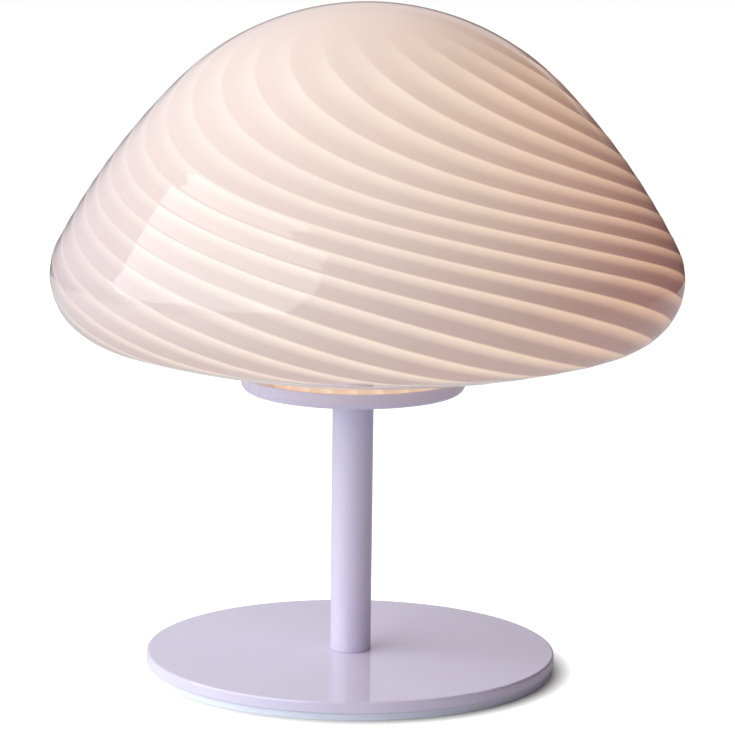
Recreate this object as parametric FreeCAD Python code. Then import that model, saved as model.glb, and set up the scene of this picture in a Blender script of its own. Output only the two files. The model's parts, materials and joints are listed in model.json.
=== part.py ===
"""Mushroom table lamp: a swirled glass shade that stands loose in a dished metal tray, on a tube
stem and a flat round base. Inside the shade are an E14 lamp holder and a golf-ball LED bulb.

Millimetres. +Z is up, the origin is the centre of the pad's underside, and +Y is the back, where
the mains cord leaves the stem. The cord itself is not part of the model, only its bush.
"""

import FreeCAD
import Part
import math
import os

Vector = FreeCAD.Vector
UP = Vector(0, 0, 1)
BACK = Vector(0, 1, 0)
LEFT = Vector(-1, 0, 0)
SQRT_HALF = math.sqrt(0.5)
HEXAGON_CORNER = 1 / math.cos(math.radians(30))  # corner over half the width across flats
SAME_PLACE = 1e-6

# ---------------------------------------------------------------- driving dimensions
# Clearances
THREAD_CLEARANCE = 0.05  # radial, between a male and a female thread at this model's detail
INSERT_CLEARANCE = 0.05  # radial, between a turned insert and the tube's bore
WASHER_HOLE_CLEARANCE = 0.25
BUSH_CLEARANCE = 0.1
CORE_CLEARANCE = 0.1
BULB_CLEARANCE = 0.2  # radial, between the bulb's cap and the holder's threaded shell
BOARD_CLEARANCE = 0.3

# Base
BASE_RADIUS = 90.0
BASE_THICKNESS = 5.0
BASE_TOP_ROUND = 1.0
BASE_BOTTOM_ROUND = 0.5
PAD_INSET = 1.0
PAD_THICKNESS = 3.0

# Stem
STEM_RADIUS = 9.0
STEM_WALL = 1.5
STEM_LENGTH = 116.5
STEM_END_ROUND = 0.4
FOOT_PLUG_LENGTH = 9.0
HEAD_BUSH_LENGTH = 12.0
INSERT_CHAMFER = 0.6

# Countersunk M6 screw that pulls the stem down on the base
SCREW_RADIUS = 3.0
SCREW_END_GAP = 1.8  # from the screw's end to the top of the foot plug
SCREW_HEAD_RADIUS = 6.0
SCREW_HEAD_HEIGHT = 3.0
SCREW_SOCKET_ACROSS_FLATS = 4.0
SCREW_SOCKET_DEPTH = 2.0
SCREW_HOLE_CLEARANCE = 0.3
SCREW_RECESS = 0.2  # how far the head lies above the plate's underside

# Hollow M10 nipple that clamps the tray and carries the lamp holder
NIPPLE_RADIUS = 5.0
NIPPLE_BORE_RADIUS = 3.8
NIPPLE_DEPTH_IN_STEM = 10.0
NIPPLE_END_GAP = 1.0  # from the nipple's end to the top of the cap's thread
NUT_ACROSS_FLATS = 14.0
NUT_HEIGHT = 3.0
NUT_CHAMFER = 0.6
WASHER_WIDTH = 6.0
WASHER_THICKNESS = 1.5

# Tray, spun from sheet
TRAY_RADIUS = 49.0
TRAY_HEIGHT = 7.0
TRAY_SHEET = 1.2
TRAY_CORNER = 3.6  # outer radius between floor and wall
SEAT_THICKNESS = 1.0
SEAT_MARGIN = 1.0  # from the glass to the seat's inner edge, where they are nearest

# Glass shade: arcs that run on from one another, from the crown down to the neck, outer face.
# The angles are the degrees that each arc turns through.
GLASS_WALL = 3.0
CROWN_RADIUS = 117.0
CROWN_ANGLE = 45.1
FLANK_RADIUS = 290.0
FLANK_ANGLE = 17.3
RIM_RADIUS = 28.4
RIM_ANGLE = 101.4
BELLY_RADIUS = 400.0
NECK_FILLET = 4.0
NECK_LENGTH = 3.9
NECK_EDGE_ROUND = 0.8
NECK_PLAY = 6.4  # radial, from the neck to the tray's wall when the two are concentric
NECK_WALL_GAP = 0.8  # what is left of it on the right, where the shade stands as photographed

# Lamp holder, E14
CAP_NECK_WALL = 3.0
CAP_NECK_HEIGHT = 9.0
CAP_SHOULDER_HEIGHT = 6.0
CAP_DRUM_HEIGHT = 7.0
HOLDER_RADIUS = 14.0
HOLDER_WALL = 1.8
SKIRT_HEIGHT = 33.0
SKIRT_MOUTH_MARGIN = 2.0  # from the threaded shell's bore to the skirt's mouth
SKIRT_LIP = 2.0
SKIRT_RIB_COUNT = 24
SKIRT_RIB_RADIUS = 0.6
SKIRT_RIB_HEIGHT = 9.0
CORE_HEIGHT = 12.0
CORE_FOOT_HEIGHT = 3.0  # how far the core reaches down into the cap
CORE_GROOVE_MARGIN = 0.5  # beside a contact that lies in one of the core's grooves
CONTACT_THICKNESS = 0.4
CONTACT_WIDTH = 4.0
CONTACT_DEPTH = 2.6  # how far the contacts' feet lie below the core's top
SHELL_INNER_RADIUS = 7.15
SHELL_HEIGHT = 21.0
TERMINAL_OFFSET = 6.2
TERMINAL_RADIUS = 1.6
TERMINAL_HEAD_RADIUS = 2.4
TERMINAL_HEAD_HEIGHT = 2.4
LOCK_SCREW_RADIUS = 1.5
LOCK_SCREW_PROUD = 0.8
SLOT_WIDTH = 0.6  # screwdriver slots of the small screws
SLOT_DEPTH = 0.8

# LED bulb, E14 golf ball
BULB_CAP_SHEET = 0.35
BULB_CAP_HEIGHT = 18.0
INSULATOR_HEIGHT = 3.2
INSULATOR_PLUG_HEIGHT = 1.6
INSULATOR_TIP_RADIUS = 3.4
TIP_RADIUS = 2.4
TIP_HEIGHT = 1.2
COLLAR_GAP = 0.6  # between the collar's foot and the holder's mouth
COLLAR_SPIGOT_LENGTH = 6.0
COLLAR_HEIGHT = 25.0
COLLAR_FOOT_WIDTH = 1.6  # how far the collar's foot stands out over the bulb's cap
COLLAR_WALL = 2.0
COLLAR_BULGE = 2.2
GLOBE_RADIUS = 22.5
GLOBE_WALL = 1.3
GLOBE_CUT_BELOW_CENTRE = 7.5
BOARD_THICKNESS = 1.2
CHIP_COUNT = 8
CHIP_SIDE = 3.0
CHIP_HEIGHT = 0.8
CHIP_RING_RADIUS = 11.0
DRIVER_WIDTH = 8.0
DRIVER_THICKNESS = 1.2
DRIVER_BELOW_BOARD = 0.3
DRIVER_LENGTH = 30.0

# Cord bush in the back of the stem, and the two leads inside the stem
BUSH_BORE_RADIUS = 3.1
BUSH_WALL = 1.4
BUSH_FLANGE_WIDTH = 1.7
BUSH_FLANGE_PROUD = 3.0
BUSH_BARREL_INSIDE = 2.0
BUSH_EDGE_ROUND = 0.8
BUSH_ABOVE_PLUG = 2.5
LEAD_RADIUS = 1.1
LEAD_SPACING = 1.5  # from the stem's axis to each lead
LEAD_BEND_RADIUS = 2.8
LEAD_FAN_BEND_RADIUS = 3.0
LEAD_END_GAP = 2.0  # between a lead's end and the bush's inner face

# ---------------------------------------------------------------- sizes worked out from them
BASE_UNDERSIDE_Z = PAD_THICKNESS
BASE_TOP_Z = BASE_UNDERSIDE_Z + BASE_THICKNESS
TRAY_UNDERSIDE_Z = BASE_TOP_Z + STEM_LENGTH
TRAY_FLOOR_Z = TRAY_UNDERSIDE_Z + TRAY_SHEET
SEAT_TOP_Z = TRAY_FLOOR_Z + SEAT_THICKNESS
NECK_TOP_Z = SEAT_TOP_Z + NECK_LENGTH
NUT_Z = TRAY_FLOOR_Z + WASHER_THICKNESS

CAP_Z = NUT_Z + NUT_HEIGHT
CAP_SHOULDER_Z = CAP_Z + CAP_NECK_HEIGHT
CAP_DRUM_Z = CAP_SHOULDER_Z + CAP_SHOULDER_HEIGHT
SKIRT_Z = CAP_DRUM_Z + CAP_DRUM_HEIGHT
SKIRT_TOP_Z = SKIRT_Z + SKIRT_HEIGHT
CORE_Z = SKIRT_Z - CORE_FOOT_HEIGHT
CORE_TOP_Z = CORE_Z + CORE_HEIGHT
CONTACT_FOOT_Z = CORE_TOP_Z - CONTACT_DEPTH
LOCK_SCREW_Z = CAP_Z + CAP_NECK_HEIGHT / 2

COLLAR_Z = SKIRT_TOP_Z + COLLAR_GAP
BULB_CAP_Z = COLLAR_Z - BULB_CAP_HEIGHT
INSULATOR_Z = BULB_CAP_Z - INSULATOR_HEIGHT
TIP_Z = INSULATOR_Z - TIP_HEIGHT
BOARD_Z = COLLAR_Z + COLLAR_HEIGHT
GLOBE_CENTRE_Z = BOARD_Z + GLOBE_CUT_BELOW_CENTRE

NIPPLE_Z = TRAY_UNDERSIDE_Z - NIPPLE_DEPTH_IN_STEM
NIPPLE_TOP_Z = CAP_SHOULDER_Z - NIPPLE_END_GAP

STEM_BORE_RADIUS = STEM_RADIUS - STEM_WALL
CAP_NECK_RADIUS = NIPPLE_RADIUS + CAP_NECK_WALL
NECK_RADIUS = TRAY_RADIUS - TRAY_SHEET - NECK_PLAY
SHADE_OFFSET_X = NECK_PLAY - NECK_WALL_GAP
BULB_CAP_RADIUS = SHELL_INNER_RADIUS - BULB_CLEARANCE
BULB_CAP_BORE_RADIUS = BULB_CAP_RADIUS - BULB_CAP_SHEET
COLLAR_FOOT_RADIUS = BULB_CAP_RADIUS + COLLAR_FOOT_WIDTH
COLLAR_TOP_RADIUS = math.sqrt(GLOBE_RADIUS**2 - GLOBE_CUT_BELOW_CENTRE**2)
GLOBE_MOUTH_RADIUS = math.sqrt((GLOBE_RADIUS - GLOBE_WALL) ** 2 - GLOBE_CUT_BELOW_CENTRE**2)

BUSH_BARREL_RADIUS = BUSH_BORE_RADIUS + BUSH_WALL
BUSH_FLANGE_RADIUS = BUSH_BARREL_RADIUS + BUSH_FLANGE_WIDTH
BUSH_Z = BASE_TOP_Z + FOOT_PLUG_LENGTH + BUSH_ABOVE_PLUG + BUSH_BARREL_RADIUS
BUSH_INNER_Y = STEM_BORE_RADIUS - BUSH_BARREL_INSIDE
BUSH_OUTER_Y = STEM_RADIUS + BUSH_FLANGE_PROUD


# ---------------------------------------------------------------- helpers
def disc(radius, height, z):
    """A solid cylinder on the lamp's axis, standing at z."""
    return Part.makeCylinder(radius, height, Vector(0, 0, z), UP)


def ring(outer, inner, height, z):
    """A plain ring on the lamp's axis."""
    return disc(outer, height, z).cut(disc(inner, height, z))


def box(width, depth, height, x, y, z):
    """A box centred on x and y, standing at z."""
    return Part.makeBox(width, depth, height, Vector(x - width / 2, y - depth / 2, z))


def point(radius, z):
    """A point of a half profile, in the XZ plane."""
    return Vector(radius, 0, z)


def line(start, end):
    """A straight edge."""
    return Part.LineSegment(start, end).toShape()


def arc(start, middle, end):
    """A circular edge through three points."""
    return Part.Arc(start, middle, end).toShape()


def round_corner(centre, radius, right, up, from_side=True):
    """A quarter arc in the XZ plane.

    right and up are 1 or -1, for the side of the centre that the arc lies on. The arc runs from
    the side to the top or bottom, or the other way round.
    """
    side = centre + Vector(right * radius, 0, 0)
    middle = centre + Vector(right * radius * SQRT_HALF, 0, up * radius * SQRT_HALF)
    end = centre + Vector(0, 0, up * radius)
    return arc(side, middle, end) if from_side else arc(end, middle, side)


def closed_outline(points):
    """The straight edges of a closed outline."""
    return Part.makePolygon(points + points[:1])


def turned(edges):
    """The solid that a closed half profile sweeps in one turn round the lamp's axis."""
    face = Part.Face(Part.Wire(Part.__sortEdges__(edges)))
    return face.revolve(Vector(0, 0, 0), UP, 360)


def turned_points(points):
    """A turned solid whose half profile has straight sides only."""
    return turned(closed_outline(points).Edges)


def hexagon(across_flats, height, z):
    """A hexagonal prism on the lamp's axis."""
    corner = across_flats / 2 * HEXAGON_CORNER
    angles = [math.radians(60 * i) for i in range(6)]
    corners = [Vector(corner * math.cos(a), corner * math.sin(a), z) for a in angles]
    return Part.Face(closed_outline(corners)).extrude(Vector(0, 0, height))


def rim_edges(shape, radius, z):
    """The shape's circular edges of that radius at that height."""
    circles = [e for e in shape.Edges if isinstance(e.Curve, Part.Circle)]
    level = [e for e in circles if abs(e.Curve.Center.z - z) < SAME_PLACE]
    return [e for e in level if abs(e.Curve.Radius - radius) < SAME_PLACE]


# ---------------------------------------------------------------- base
def make_base_plate():
    """Steel disc with a countersunk hole for the stem's screw."""
    plate = disc(BASE_RADIUS, BASE_THICKNESS, BASE_UNDERSIDE_Z)
    plate = plate.makeFillet(BASE_TOP_ROUND, rim_edges(plate, BASE_RADIUS, BASE_TOP_Z))
    plate = plate.makeFillet(BASE_BOTTOM_ROUND, rim_edges(plate, BASE_RADIUS, BASE_UNDERSIDE_Z))
    seat_z = BASE_UNDERSIDE_Z + SCREW_RECESS
    seat = Part.makeCone(SCREW_HEAD_RADIUS, SCREW_RADIUS, SCREW_HEAD_HEIGHT, Vector(0, 0, seat_z), UP)
    mouth = disc(SCREW_HEAD_RADIUS, SCREW_RECESS, BASE_UNDERSIDE_Z)
    hole = disc(SCREW_RADIUS + SCREW_HOLE_CLEARANCE, BASE_THICKNESS, BASE_UNDERSIDE_Z)
    return plate.cut(seat.fuse(mouth).fuse(hole))


def make_base_pad():
    """Non-slip pad stuck under the plate, over the screw."""
    return disc(BASE_RADIUS - PAD_INSET, PAD_THICKNESS, 0)


def make_base_screw():
    """Countersunk socket screw, from the plate's underside into the foot plug."""
    z = BASE_UNDERSIDE_Z + SCREW_RECESS
    length = BASE_TOP_Z + FOOT_PLUG_LENGTH - SCREW_END_GAP - z
    shank_radius = SCREW_RADIUS - THREAD_CLEARANCE
    head = Part.makeCone(SCREW_HEAD_RADIUS, SCREW_RADIUS, SCREW_HEAD_HEIGHT, Vector(0, 0, z), UP)
    screw = head.fuse(disc(shank_radius, length, z))
    return screw.cut(hexagon(SCREW_SOCKET_ACROSS_FLATS, SCREW_SOCKET_DEPTH, z)).removeSplitter()


# ---------------------------------------------------------------- stem
def make_stem_tube():
    """Steel tube with a hole in its back for the cord bush."""
    tube = disc(STEM_RADIUS, STEM_LENGTH, BASE_TOP_Z)
    tube = tube.makeFillet(STEM_END_ROUND, rim_edges(tube, STEM_RADIUS, BASE_TOP_Z))
    tube = tube.cut(disc(STEM_BORE_RADIUS, STEM_LENGTH, BASE_TOP_Z))
    hole_radius = BUSH_BARREL_RADIUS + BUSH_CLEARANCE
    return tube.cut(Part.makeCylinder(hole_radius, STEM_RADIUS, Vector(0, 0, BUSH_Z), BACK))


def make_insert(bore_radius, length, z):
    """A turned insert inside the tube, chamfered at both ends, with a threaded bore."""
    radius = STEM_BORE_RADIUS - INSERT_CLEARANCE
    top = z + length
    return turned_points(
        [
            point(bore_radius, z),
            point(radius - INSERT_CHAMFER, z),
            point(radius, z + INSERT_CHAMFER),
            point(radius, top - INSERT_CHAMFER),
            point(radius - INSERT_CHAMFER, top),
            point(bore_radius, top),
        ]
    )


def make_stem_foot_plug():
    """Threaded plug in the tube's foot, which the base screw pulls on."""
    return make_insert(SCREW_RADIUS, FOOT_PLUG_LENGTH, BASE_TOP_Z)


def make_stem_head_bush():
    """Threaded bush in the tube's head, which carries the nipple."""
    return make_insert(NIPPLE_RADIUS, HEAD_BUSH_LENGTH, TRAY_UNDERSIDE_Z - HEAD_BUSH_LENGTH)


def make_threaded_nipple():
    """Hollow rod from the head bush up into the lamp holder's cap."""
    return ring(NIPPLE_RADIUS - THREAD_CLEARANCE, NIPPLE_BORE_RADIUS, NIPPLE_TOP_Z - NIPPLE_Z, NIPPLE_Z)


def make_cord_bush():
    """Bush in the back of the stem: a saddled flange outside, a barrel through the wall."""
    axis_point = Vector(0, 0, BUSH_Z)
    flange = Part.makeCylinder(BUSH_FLANGE_RADIUS, BUSH_OUTER_Y, axis_point, BACK)
    outer_rim = [e for e in flange.Edges if abs(e.CenterOfMass.y - BUSH_OUTER_Y) < SAME_PLACE]
    flange = flange.makeFillet(BUSH_EDGE_ROUND, outer_rim)
    flange = flange.cut(disc(STEM_RADIUS, 2 * BUSH_Z, 0))
    barrel_start = Vector(0, BUSH_INNER_Y, BUSH_Z)
    barrel = Part.makeCylinder(BUSH_BARREL_RADIUS, STEM_RADIUS - BUSH_INNER_Y, barrel_start, BACK)
    bore = Part.makeCylinder(BUSH_BORE_RADIUS, BUSH_OUTER_Y, axis_point, BACK)
    return flange.fuse(barrel).cut(bore).removeSplitter()


# ---------------------------------------------------------------- tray
def make_shade_tray():
    """Spun dish: flat floor, rounded corner, upright wall with a rolled edge."""
    hole = NIPPLE_RADIUS + WASHER_HOLE_CLEARANCE
    outer = TRAY_RADIUS
    inner = TRAY_RADIUS - TRAY_SHEET
    roll = TRAY_SHEET / 2
    roll_z = TRAY_UNDERSIDE_Z + TRAY_HEIGHT - roll
    corner = point(TRAY_RADIUS - TRAY_CORNER, TRAY_UNDERSIDE_Z + TRAY_CORNER)
    edges = [
        line(point(hole, TRAY_UNDERSIDE_Z), point(corner.x, TRAY_UNDERSIDE_Z)),
        round_corner(corner, TRAY_CORNER, 1, -1),
        line(point(outer, corner.z), point(outer, roll_z)),
        arc(point(outer, roll_z), point(outer - roll, roll_z + roll), point(inner, roll_z)),
        line(point(inner, roll_z), point(inner, corner.z)),
        round_corner(corner, TRAY_CORNER - TRAY_SHEET, 1, -1),
        line(point(corner.x, TRAY_FLOOR_Z), point(hole, TRAY_FLOOR_Z)),
        line(point(hole, TRAY_FLOOR_Z), point(hole, TRAY_UNDERSIDE_Z)),
    ]
    return turned(edges)


def make_tray_washer():
    """Washer that spreads the nut's pull over the tray's floor."""
    bore = NIPPLE_RADIUS + WASHER_HOLE_CLEARANCE
    return ring(bore + WASHER_WIDTH, bore, WASHER_THICKNESS, TRAY_FLOOR_Z)


def make_tray_nut():
    """Thin hexagon nut on the nipple, with its upper corners turned off."""
    corner = NUT_ACROSS_FLATS / 2 * HEXAGON_CORNER
    trim = turned_points(
        [
            point(0, NUT_Z),
            point(corner, NUT_Z),
            point(corner, CAP_Z - NUT_CHAMFER),
            point(NUT_ACROSS_FLATS / 2, CAP_Z),
            point(0, CAP_Z),
        ]
    )
    nut = hexagon(NUT_ACROSS_FLATS, NUT_HEIGHT, NUT_Z).common(trim)
    return nut.cut(disc(NIPPLE_RADIUS, NUT_HEIGHT, NUT_Z))


def make_shade_seat():
    """Soft ring on the tray's floor, wide enough for the neck wherever it stands."""
    outer = TRAY_RADIUS - TRAY_CORNER
    inner = NECK_RADIUS - GLASS_WALL - SHADE_OFFSET_X - SEAT_MARGIN
    return ring(outer, inner, SEAT_THICKNESS, TRAY_FLOOR_Z)


# ---------------------------------------------------------------- glass shade
def shade_links():
    """The shade's outer arcs, as (centre, radius, first heading, last heading).

    A heading is the way the profile runs, in radians below the horizontal: 0 at the crown, a
    quarter turn at the widest place and nearly half a turn under the belly. A negative radius
    turns the other way, as the neck's fillet does. The crown is at z = 0 here.
    """
    links = []
    heading = 0.0
    at = point(0, 0)
    for radius, angle in ((CROWN_RADIUS, CROWN_ANGLE), (FLANK_RADIUS, FLANK_ANGLE), (RIM_RADIUS, RIM_ANGLE)):
        centre = at - outward(heading) * radius
        last = heading + math.radians(angle)
        links.append((centre, radius, heading, last))
        at = centre + outward(last) * radius
        heading = last
    centre = at - outward(heading) * BELLY_RADIUS
    reach = (NECK_RADIUS + NECK_FILLET - centre.x) / (BELLY_RADIUS + NECK_FILLET)
    last = math.pi - math.asin(reach)
    links.append((centre, BELLY_RADIUS, heading, last))
    fillet_centre = centre + outward(last) * (BELLY_RADIUS + NECK_FILLET)
    links.append((fillet_centre, -NECK_FILLET, last, math.pi / 2))
    return links


def outward(heading):
    """The direction square to the profile, out of the glass."""
    return point(math.sin(heading), math.cos(heading))


def link_arc(link, inset, lift):
    """An arc of the profile, moved into the glass by inset and up by lift."""
    centre, radius, first, last = link
    headings = (first, (first + last) / 2, last)
    ends = [centre + outward(h) * (radius - inset) + point(0, lift) for h in headings]
    return arc(*ends)


def shade_halves():
    """The shade's arcs above its widest place, those below it, and how far they all move up."""
    links = shade_links()
    lift = NECK_TOP_Z - links[-1][0].z
    centre, radius, first, last = links[2]
    widest = math.pi / 2
    upper = links[:2] + [(centre, radius, first, widest)]
    lower = [(centre, radius, widest, last)] + links[3:]
    return upper, lower, lift


def shade_solid(links, lift, closing):
    """A stretch of the glass wall, closed by lines across it and turned about the shade's axis."""
    edges = [link_arc(link, inset, lift) for inset in (0, GLASS_WALL) for link in links]
    edges += [line(first, last) for first, last in closing]
    return turned(edges).translated(Vector(SHADE_OFFSET_X, 0, 0))


def across_glass(radius, z):
    """The ends of a level line through the glass wall, given its outer radius there."""
    return point(radius, z), point(radius - GLASS_WALL, z)


# The shade is one blown glass. It is drawn as three solids that meet face to face, at its widest
# place and at the top of its neck, because an open bowl is simpler to wrap in convex pieces.
def make_glass_shade():
    """Upper part of the blown shade: closed crown, flank and the upper half of the rim."""
    upper, _, lift = shade_halves()
    centre = upper[-1][0]
    crown = (point(0, lift - GLASS_WALL), point(0, lift))
    return shade_solid(upper, lift, [crown, across_glass(centre.x + RIM_RADIUS, centre.z + lift)])


def make_glass_belly():
    """Lower part of the blown shade: the rim's lower half, the belly and the neck's fillet."""
    _, lower, lift = shade_halves()
    centre = lower[0][0]
    rim = across_glass(centre.x + RIM_RADIUS, centre.z + lift)
    return shade_solid(lower, lift, [rim, across_glass(NECK_RADIUS, NECK_TOP_Z)])


def make_glass_neck():
    """Short cut neck of the blown shade, which stands in the tray, with rounded edges."""
    outer, inner = NECK_RADIUS, NECK_RADIUS - GLASS_WALL
    edge = NECK_EDGE_ROUND
    edge_z = SEAT_TOP_Z + edge
    edges = [
        line(point(outer, NECK_TOP_Z), point(outer, edge_z)),
        round_corner(point(outer - edge, edge_z), edge, 1, -1),
        line(point(outer - edge, SEAT_TOP_Z), point(inner + edge, SEAT_TOP_Z)),
        round_corner(point(inner + edge, edge_z), edge, -1, -1),
        line(point(inner, edge_z), point(inner, NECK_TOP_Z)),
        line(*across_glass(NECK_RADIUS, NECK_TOP_Z)),
    ]
    return turned(edges).translated(Vector(SHADE_OFFSET_X, 0, 0))


# ---------------------------------------------------------------- lamp holder
def make_holder_cap():
    """Lower half of the holder: a threaded neck, a sloping shoulder and a hollow drum."""
    drum_inner = HOLDER_RADIUS - HOLDER_WALL
    cap = turned_points(
        [
            point(NIPPLE_RADIUS, CAP_Z),
            point(CAP_NECK_RADIUS, CAP_Z),
            point(CAP_NECK_RADIUS, CAP_SHOULDER_Z),
            point(HOLDER_RADIUS, CAP_DRUM_Z),
            point(HOLDER_RADIUS, SKIRT_Z),
            point(drum_inner, SKIRT_Z),
            point(drum_inner, CAP_DRUM_Z),
            point(CAP_NECK_RADIUS - HOLDER_WALL, CAP_SHOULDER_Z),
            point(NIPPLE_RADIUS, CAP_SHOULDER_Z),
        ]
    )
    return cap.cut(Part.makeCylinder(LOCK_SCREW_RADIUS, CAP_NECK_RADIUS, Vector(0, 0, LOCK_SCREW_Z), LEFT))


def make_holder_lock_screw():
    """Radial slotted screw that stops the cap turning on the nipple."""
    length = CAP_NECK_WALL + LOCK_SCREW_PROUD
    start = Vector(-NIPPLE_RADIUS, 0, LOCK_SCREW_Z)
    screw = Part.makeCylinder(LOCK_SCREW_RADIUS - THREAD_CLEARANCE, length, start, LEFT)
    head_x = -NIPPLE_RADIUS - length
    slot = box(2 * SLOT_DEPTH, 2 * LOCK_SCREW_RADIUS, SLOT_WIDTH, head_x, 0, LOCK_SCREW_Z - SLOT_WIDTH / 2)
    return screw.cut(slot)


def make_holder_skirt():
    """Upper half of the holder: a ribbed drum with an inturned lip round the mouth."""
    inner = HOLDER_RADIUS - HOLDER_WALL
    mouth = SHELL_INNER_RADIUS + SKIRT_MOUTH_MARGIN
    lip_z = SKIRT_TOP_Z - SKIRT_LIP
    skirt = turned_points(
        [
            point(inner, SKIRT_Z),
            point(HOLDER_RADIUS, SKIRT_Z),
            point(HOLDER_RADIUS, lip_z),
            point(HOLDER_RADIUS - SKIRT_LIP, SKIRT_TOP_Z),
            point(mouth, SKIRT_TOP_Z),
            point(mouth, lip_z),
            point(inner, lip_z),
        ]
    )
    ribs = []
    for i in range(SKIRT_RIB_COUNT):
        angle = 2 * math.pi * i / SKIRT_RIB_COUNT
        foot = Vector(HOLDER_RADIUS * math.cos(angle), HOLDER_RADIUS * math.sin(angle), SKIRT_Z)
        ribs.append(Part.makeCylinder(SKIRT_RIB_RADIUS, SKIRT_RIB_HEIGHT, foot, UP))
    hollow = disc(inner, SKIRT_RIB_HEIGHT, SKIRT_Z)
    return skirt.fuse(ribs).cut(hollow).removeSplitter()


def make_holder_core():
    """Insulating block between cap and skirt, with holes for the terminals and two grooves."""
    core = disc(HOLDER_RADIUS - HOLDER_WALL - CORE_CLEARANCE, CORE_HEIGHT, CORE_Z)
    for x in (-TERMINAL_OFFSET, TERMINAL_OFFSET):
        core = core.cut(Part.makeCylinder(TERMINAL_RADIUS, CORE_HEIGHT, Vector(x, 0, CORE_Z), UP))
    margin = 2 * CORE_GROOVE_MARGIN
    leaf = leaf_foot_length() + margin
    leaf_x = (CONTACT_WIDTH / 2 - TERMINAL_OFFSET - TERMINAL_RADIUS) / 2
    tab = CONTACT_THICKNESS + margin
    core = core.cut(box(leaf, CONTACT_WIDTH + margin, CONTACT_DEPTH, leaf_x, 0, CONTACT_FOOT_Z))
    return core.cut(box(tab, CONTACT_WIDTH + margin, CONTACT_DEPTH, shell_tab_x(), 0, CONTACT_FOOT_Z))


def leaf_foot_length():
    """Length of the centre contact's foot, from over the left terminal to past the axis."""
    return TERMINAL_OFFSET + TERMINAL_RADIUS + CONTACT_WIDTH / 2


def shell_tab_x():
    """Middle of the tab that joins the threaded shell to the right terminal."""
    return SHELL_INNER_RADIUS + CONTACT_THICKNESS / 2


def make_holder_thread_shell():
    """Brass sleeve for the bulb's screw cap, with a tab down to the right terminal."""
    shell = ring(SHELL_INNER_RADIUS + CONTACT_THICKNESS, SHELL_INNER_RADIUS, SHELL_HEIGHT, CORE_TOP_Z)
    tab_block = box(CONTACT_THICKNESS, CONTACT_WIDTH / 2, CONTACT_DEPTH, shell_tab_x(), 0, CONTACT_FOOT_Z)
    return shell.fuse(tab_block).removeSplitter()


def make_holder_centre_contact():
    """Bent brass leaf: a foot over the left terminal, a rise and a flat top under the bulb's tip."""
    t = CONTACT_THICKNESS
    left = -TERMINAL_OFFSET - TERMINAL_RADIUS
    right = CONTACT_WIDTH / 2
    front = -CONTACT_WIDTH / 2
    side = [
        Vector(left, front, CONTACT_FOOT_Z),
        Vector(right, front, CONTACT_FOOT_Z),
        Vector(right, front, TIP_Z),
        Vector(-right, front, TIP_Z),
        Vector(-right, front, TIP_Z - t),
        Vector(right - t, front, TIP_Z - t),
        Vector(right - t, front, CONTACT_FOOT_Z + t),
        Vector(left, front, CONTACT_FOOT_Z + t),
    ]
    return Part.Face(closed_outline(side)).extrude(Vector(0, CONTACT_WIDTH, 0))


def make_holder_terminal_screws():
    """Two slotted screws in the core's underside, which hold the leads."""
    screws = []
    head_z = CORE_Z - TERMINAL_HEAD_HEIGHT
    for x in (-TERMINAL_OFFSET, TERMINAL_OFFSET):
        head = Part.makeCylinder(TERMINAL_HEAD_RADIUS, TERMINAL_HEAD_HEIGHT, Vector(x, 0, head_z), UP)
        shank_radius = TERMINAL_RADIUS - THREAD_CLEARANCE
        shank = Part.makeCylinder(shank_radius, CONTACT_FOOT_Z - CORE_Z, Vector(x, 0, CORE_Z), UP)
        slot = box(SLOT_WIDTH, 2 * TERMINAL_HEAD_RADIUS, SLOT_DEPTH, x, 0, head_z)
        screws.append(head.fuse(shank).cut(slot).removeSplitter())
    return Part.makeCompound(screws)


# ---------------------------------------------------------------- bulb
def make_bulb_screw_cap():
    """Thin nickelled cap of the bulb, which takes the insulator below and the collar above."""
    return ring(BULB_CAP_RADIUS, BULB_CAP_BORE_RADIUS, BULB_CAP_HEIGHT, BULB_CAP_Z)


def make_bulb_insulator():
    """Black glass cone between the cap and the tip contact, plugged into the cap."""
    foot = Vector(0, 0, INSULATOR_Z)
    cone = Part.makeCone(INSULATOR_TIP_RADIUS, BULB_CAP_RADIUS, INSULATOR_HEIGHT, foot, UP)
    return cone.fuse(disc(BULB_CAP_BORE_RADIUS, INSULATOR_PLUG_HEIGHT, BULB_CAP_Z)).removeSplitter()


def make_bulb_tip_contact():
    """Domed solder contact on the bulb's axis."""
    ball_radius = (TIP_RADIUS**2 + TIP_HEIGHT**2) / (2 * TIP_HEIGHT)
    ball = Part.makeSphere(ball_radius, Vector(0, 0, TIP_Z + ball_radius))
    return ball.common(disc(TIP_RADIUS, TIP_HEIGHT, TIP_Z))


def collar_side(inset):
    """Middle point of the collar's flaring side, moved inwards by inset."""
    radius = (COLLAR_FOOT_RADIUS + COLLAR_TOP_RADIUS) / 2 + COLLAR_BULGE - inset
    return point(radius, (COLLAR_Z + BOARD_Z) / 2)


def make_bulb_collar():
    """Hollow plastic body of the bulb, flared from the cap's spigot up to the globe."""
    spigot = BULB_CAP_BORE_RADIUS
    bore = spigot - COLLAR_WALL
    spigot_z = COLLAR_Z - COLLAR_SPIGOT_LENGTH
    foot = point(COLLAR_FOOT_RADIUS, COLLAR_Z)
    top = point(COLLAR_TOP_RADIUS, BOARD_Z)
    inner_foot = point(bore, COLLAR_Z + COLLAR_WALL)
    inner_top = point(COLLAR_TOP_RADIUS - COLLAR_WALL, BOARD_Z)
    edges = [
        line(point(bore, spigot_z), point(spigot, spigot_z)),
        line(point(spigot, spigot_z), point(spigot, COLLAR_Z)),
        line(point(spigot, COLLAR_Z), foot),
        arc(foot, collar_side(0), top),
        line(top, inner_top),
        arc(inner_top, collar_side(COLLAR_WALL), inner_foot),
        line(inner_foot, point(bore, spigot_z)),
    ]
    return turned(edges)


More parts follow.
